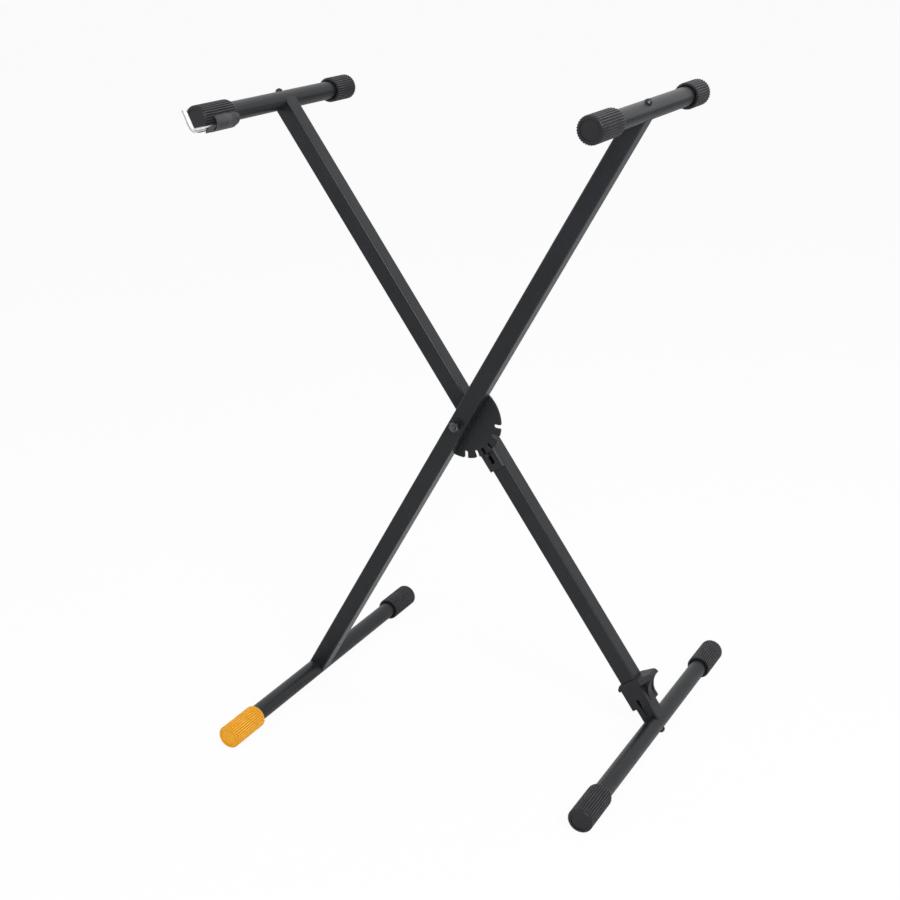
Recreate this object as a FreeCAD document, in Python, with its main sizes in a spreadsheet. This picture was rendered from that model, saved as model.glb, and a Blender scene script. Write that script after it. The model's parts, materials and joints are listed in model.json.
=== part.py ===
import FreeCAD, Part
import math
import os
import Sketcher

# Folding keyboard stand: two square-tube legs crossed on a pivot, a round bar across each leg
# end, ribbed caps, and a sprung latch that drops into a notched disc.
# World frame: X across the stand, Y from the front to the back, Z up, origin on the floor under
# the pivot. Each leg's pieces are made in that leg's own frame, with its origin on the pivot in
# the middle of the tube, z up the leg and x across it, and are then leaned over with the leg.

V = FreeCAD.Vector
doc = FreeCAD.newDocument("keyboard_stand")
sheet = doc.addObject("Spreadsheet::Sheet", "Sizes")
pieces = []


class Dim:
    """A size that holds its number and the sheet expression that works it out."""

    def __init__(self, text, value):
        self.text = text
        self.value = value

    def __add__(self, other):
        other = dim(other)
        return Dim("(%s + %s)" % (self.text, other.text), self.value + other.value)

    def __sub__(self, other):
        other = dim(other)
        return Dim("(%s - %s)" % (self.text, other.text), self.value - other.value)

    def __mul__(self, other):
        other = dim(other)
        return Dim("%s * %s" % (self.text, other.text), self.value * other.value)

    def __truediv__(self, other):
        other = dim(other)
        return Dim("%s / %s" % (self.text, other.text), self.value / other.value)

    def __neg__(self):
        return Dim("(0 - %s)" % self.text, -self.value)

    def __rsub__(self, other):
        return dim(other) - self

    def __rtruediv__(self, other):
        return dim(other) / self

    __radd__ = __add__
    __rmul__ = __mul__


def dim(number):
    return number if isinstance(number, Dim) else Dim("(%s)" % number, float(number))


def sine(angle):
    return Dim("sin(%s)" % angle.text, math.sin(math.radians(angle.value)))


def cosine(angle):
    return Dim("cos(%s)" % angle.text, math.cos(math.radians(angle.value)))


def root(number):
    return Dim("sqrt(%s)" % number.text, math.sqrt(number.value))


row_count = 0


def write_row(alias, content, note):
    global row_count
    row_count += 1
    sheet.set("A%d" % row_count, alias)
    sheet.set("B%d" % row_count, content)
    sheet.setAlias("B%d" % row_count, alias)
    sheet.set("C%d" % row_count, note)


def size(alias, number, note):
    """A driving dimension: a plain number in the sheet, in millimetres or degrees."""
    write_row(alias, number, note)
    return Dim("Sizes." + alias, float(number))


def worked(alias, formula, note):
    """A dimension that the sheet works out from the driving ones."""
    write_row(alias, "=" + formula.text.replace("Sizes.", ""), note)
    return Dim("Sizes." + alias, formula.value)


# Stand
leg_length = size("leg_length", "1019", "from bar axis to bar axis")
open_angle = size("open_angle", "65", "between the legs as it stands")
leg_gap = size("leg_gap", "12", "between the two legs")
# Leg tube
leg_side = size("leg_side", "25", "outer side")
leg_wall = size("leg_wall", "1.5", "wall")
leg_corner = size("leg_corner", "2.5", "outer corner radius")
saddle_lip = size("saddle_lip", "1.5", "how far the saddle stops short of the bar's axis")
# Bars
bar_dia = size("bar_dia", "25.4", "outside")
bar_wall = size("bar_wall", "1.5", "wall")
top_bar_length = size("top_bar_length", "354.4", "tube of a top bar")
foot_bar_length = size("foot_bar_length", "503", "tube of a foot bar")
# Ribbed caps
cap_dia = size("cap_dia", "34.8", "outside")
cap_floor = size("cap_floor", "4", "closed end's wall")
foot_cap_floor = size("foot_cap_floor", "6", "closed end's wall of the rear foot caps and the levelling cap")
cap_edge = size("cap_edge", "1.8", "chamfer of the closed end")
cap_taper = size("cap_taper", "5.5", "length of the tapered mouth")
cap_taper_drop = size("cap_taper_drop", "2.2", "how much the taper takes off the radius")
top_front_cap_length = size("top_front_cap_length", "70", "top bars, front")
top_rear_cap_length = size("top_rear_cap_length", "48.5", "top bars, rear")
foot_front_cap_length = size("foot_front_cap_length", "70", "right foot bar, front")
foot_cap_length = size("foot_cap_length", "64", "foot bars, rear")
rear_taper = size("rear_taper", "1.5", "edge of a rear cap's open mouth")
mouth_gap = size("mouth_gap", "1.4", "open ring round the tube at a cap's mouth")
mouth_depth = size("mouth_depth", "6", "depth of that ring")
face_recess_dia = size("face_recess_dia", "25", "sunk disc on the closed end")
face_recess_depth = size("face_recess_depth", "1", "its depth")
rib_count = size("rib_count", "32", "grooves round a cap")
rib_groove_dia = size("rib_groove_dia", "2.4", "round cutter of a groove")
rib_groove_depth = size("rib_groove_depth", "1.3", "depth of a groove")
contact_flat = size("contact_flat", "0.4", "depth of the flat that a foot cap stands on")
# Levelling cap
levelling_dia = size("levelling_dia", "34", "outside")
levelling_cap_length = size("levelling_cap_length", "67", "left foot bar, front")
levelling_offset = size("levelling_offset", "1.5", "its outside is off its bore's axis by this")
ring_height = size("ring_height", "1.2", "snap ring, along the bar")
ring_dia = size("ring_dia", "26.8", "snap ring, outside")
ring_seat_dia = size("ring_seat_dia", "24.2", "bottom of the bar's ring groove")
ring_inset = size("ring_inset", "12", "ring's middle from the bar's end")
# Bar bolts and plugs
bolt_dia = size("bolt_dia", "6", "shank")
bolt_head_dia = size("bolt_head_dia", "10.5", "button head")
bolt_head_rim = size("bolt_head_rim", "1.4", "straight rim of the button head")
bolt_head_top = size("bolt_head_top", "6.4", "small end of the button head's cone")
bolt_head_height = size("bolt_head_height", "4.2", "button head")
bolt_socket = size("bolt_socket", "4.6", "hexagon socket, across its corners")
bolt_socket_depth = size("bolt_socket_depth", "2.5", "hexagon socket")
bolt_grip = size("bolt_grip", "16", "bolt's length in the plug")
plug_length = size("plug_length", "20", "plug in a leg's end")
# Pivot
pivot_dia = size("pivot_dia", "8", "bolt's shank")
pivot_hex = size("pivot_hex", "15", "bolt head and nut, across their corners")
pivot_head_height = size("pivot_head_height", "5.3", "bolt head")
nut_height = size("nut_height", "8.5", "lock nut")
nut_collar_dia = size("nut_collar_dia", "12.9", "lock nut's round collar")
bolt_end = size("bolt_end", "1.6", "bolt's end past the nut")
washer_dia = size("washer_dia", "21", "washer under the nut and the head")
washer_height = size("washer_height", "1.6", "the same washer")
bush_dia = size("bush_dia", "12", "pivot bush, outside")
spacer_dia = size("spacer_dia", "24", "spacer between the legs")
# Notched disc
disc_radius = size("disc_radius", "56", "rim")
disc_height = size("disc_height", "3", "plate")
disc_back = size("disc_back", "9", "from the leg's axis to the disc's straight edge")
notch_width = size("notch_width", "5.5", "notch")
notch_depth = size("notch_depth", "10.6", "from the rim to the bottom of a notch")
tooth_round = size("tooth_round", "1.5", "corners of the teeth")
closed_angle = size("closed_angle", "4.5", "between the legs when folded flat")
high_angle = size("high_angle", "32", "highest setting")
upper_angle = size("upper_angle", "51.5", "setting above the one shown")
lower_angle = size("lower_angle", "80", "setting below the one shown")
low_angle = size("low_angle", "100", "last but one setting")
widest_angle = size("widest_angle", "118", "lowest setting")
rivet_dia = size("rivet_dia", "5", "disc rivets")
rivet_head_dia = size("rivet_head_dia", "8.5", "disc rivets")
rivet_head_height = size("rivet_head_height", "1.4", "disc rivets")
rivet_spread = size("rivet_spread", "32", "disc rivets, from the pivot")
# Latch
latch_pin_dia = size("latch_pin_dia", "5", "latch pin")
notch_seat = size("notch_seat", "0.6", "latch pin from the bottom of its notch")
rim_clear = size("rim_clear", "0.5", "drawn latch pin from the disc's rim")
pin_end_gap = size("pin_end_gap", "0.4", "latch pin's end from the front leg")
latch_slot = size("latch_slot", "7", "slot in the leg and the housing")
housing_height = size("housing_height", "6.6", "latch housing, off the leg's face")
housing_lap = size("housing_lap", "11.5", "latch housing's top, in from the disc's rim")
housing_length = size("housing_length", "38", "latch housing")
slot_run = size("slot_run", "15", "latch slot's bottom below the drawn latch pin")
housing_chamfer = size("housing_chamfer", "1.2", "latch housing's long edges")
housing_rivet_dia = size("housing_rivet_dia", "3", "latch housing's rivets")
housing_rivet_inset = size("housing_rivet_inset", "3.6", "rivets from the housing's edges")
tongue_width = size("tongue_width", "6.2", "slider's tongue in the slot")
tongue_length = size("tongue_length", "14", "slider's tongue")
slider_length = size("slider_length", "42", "slider in the leg")
slider_overlap = size("slider_overlap", "26", "slider below the latch pin")
slide_gap = size("slide_gap", "0.35", "round what slides in or on the leg")
rod_dia = size("rod_dia", "5", "pull rod")
rod_grip = size("rod_grip", "10", "rod's screwed length at each end")
spring_wire = size("spring_wire", "1.4", "latch spring")
spring_dia = size("spring_dia", "13", "latch spring, mean coil")
spring_length = size("spring_length", "30", "latch spring, pressed")
spring_pitch = size("spring_pitch", "3.5", "latch spring, pressed")
seat_length = size("seat_length", "12", "block that the spring stands on")
# Trigger
trigger_bottom = size("trigger_bottom", "31", "from the foot bar's axis")
trigger_top = size("trigger_top", "72.3", "from the foot bar's axis")
trigger_wall = size("trigger_wall", "2.9", "sleeve")
lip_out = size("lip_out", "3.5", "lip on the inner side")
lip_bottom = size("lip_bottom", "63.5", "underside of the lip from the foot bar's axis")
lip_shoulder = size("lip_shoulder", "67.6", "outer edge of the lip from the foot bar's axis")
lip_top_inset = size("lip_top_inset", "1.7", "lip's top edge, in from the sleeve's face")
wing_out = size("wing_out", "35.7", "finger wing's tip from the leg's axis")
wing_top_out = size("wing_top_out", "30.3", "end of the wing's sloping top from the leg's axis")
wing_top = size("wing_top", "69.4", "the same end from the foot bar's axis")
wing_tip = size("wing_tip", "62", "wing's tip from the foot bar's axis")
wing_tip_round = size("wing_tip_round", "7", "round of the tip")
wing_corner_out = size("wing_corner_out", "18", "start of the wing's slanted corner from the leg's axis")
wing_corner_back = size("wing_corner_back", "12.8", "how far back that corner has slanted at the tip")
wing_root = size("wing_root", "40", "where the wing's hollow meets the sleeve")
wing_hollow = size("wing_hollow", "29", "radius of the hollow for the finger")
grip_width = size("grip_width", "5", "pocket beside the wing's middle rib")
grip_floor = size("grip_floor", "0.8", "pocket's floor below the sleeve's face")
grip_spread = size("grip_spread", "8.5", "the two pockets from the leg's middle")
grip_bottom = size("grip_bottom", "34.7", "pocket's low end from the foot bar's axis")
grip_top = size("grip_top", "61", "pocket's high end from the foot bar's axis")
window_width = size("window_width", "4.5", "window in the sleeve's front")
window_top = size("window_top", "43.5", "its top from the foot bar's axis")
trigger_pin_dia = size("trigger_pin_dia", "5", "cross pin")
trigger_pin_up = size("trigger_pin_up", "48", "cross pin from the foot bar's axis")
pin_cover = size("pin_cover", "1.2", "wall left in front of the cross pin")
pull_slot = size("pull_slot", "6.6", "slots for the cross pin in the leg")
pull_slot_low = size("pull_slot_low", "16.5", "their low end from the foot bar's axis")
pull_slot_high = size("pull_slot_high", "62", "their high end from the foot bar's axis")
rod_block_length = size("rod_block_length", "28", "block between rod and cross pin")
# Stop pin and its housing
stop_dia = size("stop_dia", "6", "stop pin's wire")
stop_exposed = size("stop_exposed", "45.5", "wire from the housing to the bend's outer side")
stop_inside = size("stop_inside", "22", "wire in the housing")
stop_short = size("stop_short", "28", "short leg, from the wire's axis to its end")
stop_bend = size("stop_bend", "4.5", "bend, on the wire's axis")
stop_turn = size("stop_turn", "80", "short leg from the leg's cross axis")
stop_neck_dia = size("stop_neck_dia", "4", "neck that the guide bush runs on")
stop_bush_dia = size("stop_bush_dia", "7.8", "guide bush, outside")
stop_bush_length = size("stop_bush_length", "8", "guide bush")
stop_mouth = size("stop_mouth", "7", "narrow part of the housing's bore")
boss_angle = size("boss_angle", "-70", "housing round the bar, from the leg's cross axis")
boss_dia = size("boss_dia", "24.4", "housing")
boss_out = size("boss_out", "10.8", "housing's axis from the bar's")
stop_out = size("stop_out", "17.6", "stop pin's axis from the bar's")
boss_start = size("boss_start", "16.5", "housing's front from the cap's face")
boss_taper = size("boss_taper", "9", "tapered end of the housing")
boss_taper_dia = size("boss_taper_dia", "19", "its small end")
lip_gap = size("lip_gap", "0.9", "stop pin to the lip that runs forward under it")
# Clearances
seat_gap = size("seat_gap", "0.05", "between pieces that seat on each other")
cap_gap = size("cap_gap", "0.1", "cap on bar, radius")
end_gap = size("end_gap", "0.3", "bar's end to cap")
hole_gap = size("hole_gap", "0.3", "bolt in a clearance hole, radius")
running_gap = size("running_gap", "0.06", "turning fits, radius")

half_leg = worked("half_leg", leg_length / 2, "pivot to bar axis")
half_angle = worked("half_angle", open_angle / 2, "each leg from upright")
leg_offset = worked("leg_offset", (leg_gap + leg_side) / 2, "leg's middle from the pivot's")
half_side = worked("half_side", leg_side / 2, "half a leg's side")
bar_radius = worked("bar_radius", bar_dia / 2, "bar, outside")
cap_radius = worked("cap_radius", cap_dia / 2, "cap, outside")
stand_radius = worked("stand_radius", cap_radius - contact_flat, "foot bar axis above the floor")
pivot_height = worked("pivot_height", half_leg * cosine(half_angle) + stand_radius, "pivot above floor")
foot_reach = worked("foot_reach", half_leg * sine(half_angle), "foot bar axis from the middle")
latch_radius = worked(
    "latch_radius", disc_radius - notch_depth + latch_pin_dia / 2 + notch_seat, "dropped latch pin")
latch_drawn = worked(
    "latch_drawn", disc_radius + latch_pin_dia / 2 + rim_clear, "drawn latch pin from the pivot")
housing_top = worked("housing_top", disc_radius - housing_lap, "latch housing's top from the pivot")
housing_bottom = worked("housing_bottom", housing_top + housing_length, "its bottom from the pivot")
slot_bottom = worked("slot_bottom", latch_drawn + slot_run, "latch slot's bottom from the pivot")
latch_travel = worked("latch_travel", latch_drawn - latch_radius, "latch pin, drawn to dropped")
slider_side = worked("slider_side", leg_side - 2 * leg_wall - 2 * slide_gap, "slider and rod block")
plug_side = worked("plug_side", leg_side - 2 * leg_wall - 2 * cap_gap, "plugs and spring seat")
sleeve_half = worked("sleeve_half", half_side + slide_gap + trigger_wall, "half the trigger's side")
spring_top = worked("spring_top", latch_drawn + slider_overlap, "slider's bottom, below the pivot")
seat_top = worked("seat_top", spring_top + spring_length + 2 * seat_gap, "spring seat's top")
rod_block_top = worked(
    "rod_block_top", half_leg - trigger_pin_up - rod_block_length / 2, "rod block's top")
doc.recompute()


# ---- placements -------------------------------------------------------------------------------

AXES = {"x": "vector(1; 0; 0)", "y": "vector(0; 1; 0)", "z": "vector(0; 0; 1)"}


def place(x=0, y=0, z=0, *turns):
    """Expression of a placement at x, y, z, turned by (axis, angle) pairs, the last one first."""
    text = "placement(vector(%s; %s; %s); rotation(vector(0; 0; 1); 0))" % tuple(
        dim(value).text for value in (x, y, z))
    for axis, angle in turns:
        text += " * placement(vector(0; 0; 0); rotation(%s; %s))" % (AXES[axis], dim(angle).text)
    return text


LEG = {
    "front": place(0, -leg_offset, pivot_height, ("y", half_angle)),
    "rear": place(0, leg_offset, pivot_height, ("y", -half_angle)),
}
BAR_SHIFT = {"front": leg_offset, "rear": -leg_offset}
ALONG = {"x": ("y", 90), "y": ("x", -90), "-y": ("x", 90), "z": ("z", 0)}


def bind(thing, **sizes):
    for name, value in sizes.items():
        thing.setExpression(name, dim(value).text)
    return thing


# ---- solids from primitives and booleans ------------------------------------------------------

def cylinder(name, radius, height, x=0, y=0, z=0, along="z"):
    """Cylinder that starts at x, y, z and runs along an axis."""
    solid = doc.addObject("Part::Cylinder", name)
    solid.setExpression("Placement", place(x, y, z, ALONG[along]))
    return bind(solid, Radius=radius, Height=height)


def cone(name, radius, small_radius, height, z=0):
    solid = doc.addObject("Part::Cone", name)
    solid.setExpression("Placement", place(0, 0, z))
    return bind(solid, Radius1=radius, Radius2=small_radius, Height=height)


def hexagon(name, corners, height, x=0, y=0, z=0, along="z"):
    solid = doc.addObject("Part::Prism", name)
    solid.setExpression("Placement", place(x, y, z, ALONG[along]))
    return bind(solid, Circumradius=corners / 2, Height=height)


def block(name, width, depth, height, x=0, y=0, z=0):
    """Box that is centred on x and y and starts at z."""
    solid = doc.addObject("Part::Box", name)
    solid.setExpression("Placement", place(dim(x) - width / 2, dim(y) - depth / 2, z))
    return bind(solid, Length=width, Width=depth, Height=height)


def fuse(name, *solids):
    joined = doc.addObject("Part::MultiFuse", name)
    joined.Shapes = list(solids)
    return joined


def cut(name, base, *tools):
    result = doc.addObject("Part::Cut", name)
    result.Base = base
    result.Tool = tools[0] if len(tools) == 1 else fuse(name + "_cutters", *tools)
    return result


def group(name, *solids):
    result = doc.addObject("Part::Compound", name)
    result.Links = list(solids)
    return result


def finish(piece, label, placement):
    """Names a finished sub-part and stands it in its place."""
    piece.Label = label
    piece.setExpression("Placement", placement)
    pieces.append(piece)
    return piece


# ---- solids from sketches ---------------------------------------------------------------------

def new_body(label, placement):
    return finish(doc.addObject("PartDesign::Body", label), label, placement)


def origin_part(body, role):
    return next(feature for feature in body.Origin.OriginFeatures if feature.Role == role)


def new_sketch(body, plane, name="sketch"):
    sketch = body.newObject("Sketcher::SketchObject", body.Label + "_" + name)
    sketch.AttachmentSupport = [(origin_part(body, plane), "")]
    sketch.MapMode = "FlatFace"
    return sketch


def measure(sketch, constraint, value):
    """Adds a constraint with a size, bound to the sheet."""
    number = sketch.addConstraint(constraint)
    sketch.setExpression("Constraints[%d]" % number, dim(value).text)


def hold(sketch, line, end, x, y):
    """Holds a line's end at x, y from the sketch's origin."""
    for kind, axis, value in (("DistanceX", -2, dim(x)), ("DistanceY", -1, dim(y))):
        if value.value == 0:
            sketch.addConstraint(Sketcher.Constraint("PointOnObject", line, end, axis))
        else:
            measure(sketch, Sketcher.Constraint(kind, -1, 1, line, end, value.value), value)


def arc_between(start, end, radius):
    """Arc from start to end, bulging to the left of the way from start to end."""
    chord = end - start
    middle = (start + end) * 0.5
    rise = math.sqrt(radius * radius - (chord.Length / 2) ** 2)
    centre = middle - V(-chord.y, chord.x, 0).normalize() * rise
    first = math.atan2(end.y - centre.y, end.x - centre.x)
    last = math.atan2(start.y - centre.y, start.x - centre.x)
    return Part.ArcOfCircle(Part.Circle(centre, V(0, 0, 1), radius), first, last)


def outline(sketch, corners, arcs=(), hollows=()):
    """Closed clockwise outline through corners. arcs gives the radius of each side that is an arc,
    and hollows lists those of them that bend inwards."""
    arcs = dict(arcs)
    count = len(corners)
    points = [V(dim(x).value, dim(y).value, 0) for x, y in corners]
    ends = []
    for index, start in enumerate(points):
        end = points[(index + 1) % count]
        if index in hollows:
            line = sketch.addGeometry(arc_between(end, start, dim(arcs[index]).value))
            ends.append((line, 1, 2))
        elif index in arcs:
            line = sketch.addGeometry(arc_between(start, end, dim(arcs[index]).value))
            ends.append((line, 2, 1))
        else:
            line = sketch.addGeometry(Part.LineSegment(start, end))
            ends.append((line, 1, 2))
    for index, (line, first, last) in enumerate(ends):
        following, following_first, _ = ends[(index + 1) % count]
        sketch.addConstraint(Sketcher.Constraint("Coincident", line, last, following, following_first))
        hold(sketch, line, first, *corners[index])
        if index in arcs:
            measure(sketch, Sketcher.Constraint("Radius", line, dim(arcs[index]).value), arcs[index])


def circle(sketch, diameter):
    line = sketch.addGeometry(Part.Circle(V(0, 0, 0), V(0, 0, 1), dim(diameter).value / 2))
    sketch.addConstraint(Sketcher.Constraint("Coincident", line, 3, -1, 1))
    measure(sketch, Sketcher.Constraint("Diameter", line, dim(diameter).value), diameter)


def rounded_square(sketch, side, corner):
    """Square on the sketch's origin with round corners: four lines, four tangent arcs."""
    half, radius = side.value / 2, corner.value
    flat = half - radius
    turned = [V(0, 0, 1), V(0, 0, 1)]
    lines, rounds = [], []
    for quarter in range(4):
        angle = quarter * math.pi / 2
        spin = FreeCAD.Rotation(turned[0], math.degrees(angle))
        start, end = spin.multVec(V(-flat, -half, 0)), spin.multVec(V(flat, -half, 0))
        centre = spin.multVec(V(flat, -flat, 0))
        lines.append(sketch.addGeometry(Part.LineSegment(start, end)))
        rounds.append(sketch.addGeometry(Part.ArcOfCircle(
            Part.Circle(centre, V(0, 0, 1), radius), angle - math.pi / 2, angle)))
    for quarter in range(4):
        line, arc, following = lines[quarter], rounds[quarter], lines[(quarter + 1) % 4]
        sketch.addConstraint(Sketcher.Constraint("Tangent", line, 2, arc, 1))
        sketch.addConstraint(Sketcher.Constraint("Tangent", arc, 2, following, 1))
        sketch.addConstraint(Sketcher.Constraint("Horizontal" if quarter % 2 == 0 else "Vertical", line))
        if quarter:
            sketch.addConstraint(Sketcher.Constraint("Equal", rounds[0], arc))
    measure(sketch, Sketcher.Constraint("Radius", rounds[0], radius), corner)
    measure(sketch, Sketcher.Constraint("DistanceX", lines[3], 1, lines[1], 1, side.value), side)
    measure(sketch, Sketcher.Constraint("DistanceY", lines[0], 1, lines[2], 1, side.value), side)
    measure(sketch, Sketcher.Constraint("DistanceX", -1, 1, lines[1], 1, half), side / 2)
    measure(sketch, Sketcher.Constraint("DistanceY", -1, 1, lines[2], 1, half), side / 2)


def feature(body, kind, name, **sizes):
    return bind(body.newObject("PartDesign::" + kind, name), **sizes)


def pad_both_ways(body, sketch, length):
    """Pads a sketch by half the length to each side."""
    pad = feature(body, "Pad", body.Label + "_pad", Length=length)
    pad.Profile = sketch
    pad.SideType = "Symmetric"
    return pad


def drill(body, name, radius, height, x=0, y=0, z=0, along="z", kind="SubtractiveCylinder"):
    """Round cut that starts at x, y, z and runs along an axis."""
    hole = feature(body, kind, name, Radius=radius, Height=height)
    hole.setExpression("Placement", place(x, y, z, ALONG[along]))
    return hole


def mill(body, name, width, depth, height, x=0, y=0, z=0, turns=()):
    """Box-shaped cut that is centred on x and y and starts at z, turned about the y axis."""
    pocket = feature(body, "SubtractiveBox", name, Length=width, Width=depth, Height=height)
    corner = place(dim(x) - width / 2, dim(y) - depth / 2, z)
    pocket.setExpression("Placement", place(0, 0, 0, *turns) + " * " + corner)
    return pocket


def slot(body, name, width, depth, low, high, y=0):
    """Slot with round ends along z, cut through along y."""
    middle = width / 2
    mill(body, name, width, depth, high - low - width, 0, y, low + middle)
    for end, z in (("low", low + middle), ("high", high - middle)):
        drill(body, name + "_" + end, middle, depth, 0, dim(y) - depth / 2, z, "y")


# ---- legs and bars ----------------------------------------------------------------------------

def leg_tube(label, leg, pivot_hole):
    """Square tube with a saddle for a bar at each end and a cross hole for the pivot."""
    body = new_body(label, LEG[leg])
    sketch = new_sketch(body, "XY_Plane")
    rounded_square(sketch, leg_side, leg_corner)
    rounded_square(sketch, leg_side - 2 * leg_wall, leg_corner - leg_wall)
    pad_both_ways(body, sketch, leg_length - 2 * saddle_lip)
    through = leg_side + 2
    for end, z in (("top", half_leg), ("foot", -half_leg)):
        drill(body, "%s_%s_saddle" % (leg, end), bar_radius + seat_gap, through, 0, -through / 2, z, "y")
    drill(body, leg + "_pivot_hole", pivot_hole, through, 0, -through / 2, 0, "y")
    return body


def bar(label, leg, end, length):
    """Round bar across a leg's end, drilled for its bolt. It is centred on the stand."""
    z = half_leg if end == "top" else -half_leg
    body = new_body(label, LEG[leg] + " * " + place(0, BAR_SHIFT[leg], z))
    sketch = new_sketch(body, "XZ_Plane")
    circle(sketch, bar_dia)
    circle(sketch, bar_dia - 2 * bar_wall)
    pad_both_ways(body, sketch, length)
    through = bar_dia + 2
    drill(body, label + "_bolt_hole", bolt_dia / 2 + hole_gap, through, 0, -BAR_SHIFT[leg], -through / 2)
    return body


def leg_plug(label, leg, end):
    """Block in the leg's end that the bar's bolt screws into."""
    z = half_leg - bar_radius - seat_gap - plug_length if end == "top" else bar_radius + seat_gap - half_leg
    body = block(label + "_block", plug_side, plug_side, plug_length, 0, 0, z)
    thread = cylinder(label + "_thread", bolt_dia / 2 + seat_gap, plug_length + 2, 0, 0, z - 1)
    finish(cut(label, body, thread), label, LEG[leg])


def bar_bolt(label, leg, end):
    """Button-head bolt down through the bar into the leg's plug."""
    shank_length = bar_dia + bolt_grip
    rim = cylinder(label + "_rim", bolt_head_dia / 2, bolt_head_rim)
    dome = cone(label + "_dome", bolt_head_dia / 2, bolt_head_top / 2, bolt_head_height - bolt_head_rim,
                bolt_head_rim)
    socket = hexagon(label + "_socket", bolt_socket, bolt_socket_depth + 1,
                     z=bolt_head_height - bolt_socket_depth)
    shank = cylinder(label + "_shank", bolt_dia / 2, shank_length, z=-shank_length)
    bolt = cut(label, fuse(label + "_blank", rim, dome, shank), socket)
    reach = half_leg + bar_radius + seat_gap
    over = place(0, 0, reach) if end == "top" else place(0, 0, -reach, ("x", 180))
    finish(bolt, label, LEG[leg] + " * " + over)


front_leg = leg_tube("front_leg_tube", "front", pivot_dia / 2 + hole_gap)
for side, z in (("upper", rivet_spread), ("lower", -rivet_spread)):
    drill(front_leg, side + "_disc_rivet_hole", rivet_dia / 2 + seat_gap, 2 * leg_wall, 0,
          half_side - leg_wall * 1.5, z, "y")
rear_leg = leg_tube("rear_leg_tube", "rear", bush_dia / 2 + seat_gap)
slot(rear_leg, "latch_slot", latch_slot, 2 * leg_wall + 2, -slot_bottom, -(latch_radius - tongue_length),
     -half_side)
slot(rear_leg, "pull_slot", pull_slot, leg_side + 2, pull_slot_low - half_leg, pull_slot_high - half_leg)
for side, x in (("inner", -1), ("outer", 1)):
    drill(rear_leg, side + "_housing_rivet_hole", housing_rivet_dia / 2 + seat_gap, 2 * leg_wall,
          x * (half_side - housing_rivet_inset), -half_side - leg_wall / 2,
          -housing_top - housing_rivet_inset, "y")

bar("top_right_bar", "front", "top", top_bar_length)
foot_left_bar = bar("foot_left_bar", "front", "foot", foot_bar_length)
bar("top_left_bar", "rear", "top", top_bar_length)
bar("foot_right_bar", "rear", "foot", foot_bar_length)
for leg, end, bar_name in (("front", "top", "top_right"), ("front", "foot", "foot_left"),
                           ("rear", "top", "top_left"), ("rear", "foot", "foot_right")):
    leg_plug("%s_leg_%s_plug" % (leg, end), leg, end)
    bar_bolt(bar_name + "_bar_bolt", leg, end)

# Groove near the front end of the left foot bar, for the snap ring of the levelling cap
ring_y = worked("ring_y", foot_bar_length / 2 - ring_inset, "snap ring's middle from the bar's middle")
groove_sketch = new_sketch(foot_left_bar, "YZ_Plane")
groove_half = ring_height / 2 + seat_gap
outline(groove_sketch, [
    (-ring_y - groove_half, ring_seat_dia / 2), (-ring_y + groove_half, ring_seat_dia / 2),
    (-ring_y + groove_half, bar_radius + 1), (-ring_y - groove_half, bar_radius + 1)])
groove = feature(foot_left_bar, "Groove", "ring_groove")
groove.Profile = groove_sketch
groove.ReferenceAxis = (groove_sketch, ["H_Axis"])
groove.Angle = 360


# ---- end caps ---------------------------------------------------------------------------------

def ribbed_cap(label, placement, length, taper, drop, radius=cap_radius):
    """Cap that is closed at z = 0 and open at z = length."""
    body = new_body(label, placement)
    sketch = new_sketch(body, "XZ_Plane")
    outline(sketch, [
        (0, face_recess_depth), (face_recess_dia / 2, face_recess_depth), (face_recess_dia / 2, 0),
        (radius - cap_edge, 0), (radius, cap_edge), (radius, length - taper),
        (radius - drop, length), (0, length)])
    turned = feature(body, "Revolution", label + "_turned")
    turned.Profile = sketch
    turned.ReferenceAxis = (sketch, ["V_Axis"])
    turned.Angle = 360
    groove_out = radius + rib_groove_dia / 2 - rib_groove_depth
    half_pitch = 180 / rib_count
    one_groove = drill(body, label + "_groove", rib_groove_dia / 2, length + 2,
                       groove_out * cosine(half_pitch), groove_out * sine(half_pitch), -1)
    ribs = feature(body, "PolarPattern", label + "_ribs", Occurrences=rib_count)
    ribs.Originals = [one_groove]
    ribs.Axis = (origin_part(body, "Z_Axis"), [""])
    ribs.Angle = 360
    body.Tip = ribs
    return body


def bore_cap(body, length, mouth, floor=cap_floor):
    """Bores a cap for its bar, with a wider ring at the mouth."""
    drill(body, body.Label + "_bore", bar_radius + cap_gap, length, 0, 0, floor)
    drill(body, body.Label + "_mouth", bar_radius + mouth, length, 0, 0, length - mouth_depth)


def on_bar(leg, bar_length, at_front):
    """Placement of a cap on a top bar, in the leg's frame."""
    reach = bar_length / 2 + end_gap + cap_floor
    if at_front:
        return LEG[leg] + " * " + place(0, BAR_SHIFT[leg] - reach, half_leg, ALONG["y"])
    return LEG[leg] + " * " + place(0, BAR_SHIFT[leg] + reach, half_leg, ALONG["-y"])


def on_foot(side, at_front, floor):
    """Placement of a cap on a foot bar, level with the floor. side is -1 for left, 1 for right."""
    reach = foot_bar_length / 2 + end_gap + floor
    if at_front:
        return place(side * foot_reach, -reach, stand_radius, ALONG["y"])
    return place(side * foot_reach, reach, stand_radius, ALONG["-y"])


def stand_on_flat(body, length, at_front):
    """Flat under a foot cap where it meets the floor."""
    down = 1 if at_front else -1
    mill(body, body.Label + "_flat", cap_dia, 2 * contact_flat, length + 2, 0, down * cap_radius, -1)


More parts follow.
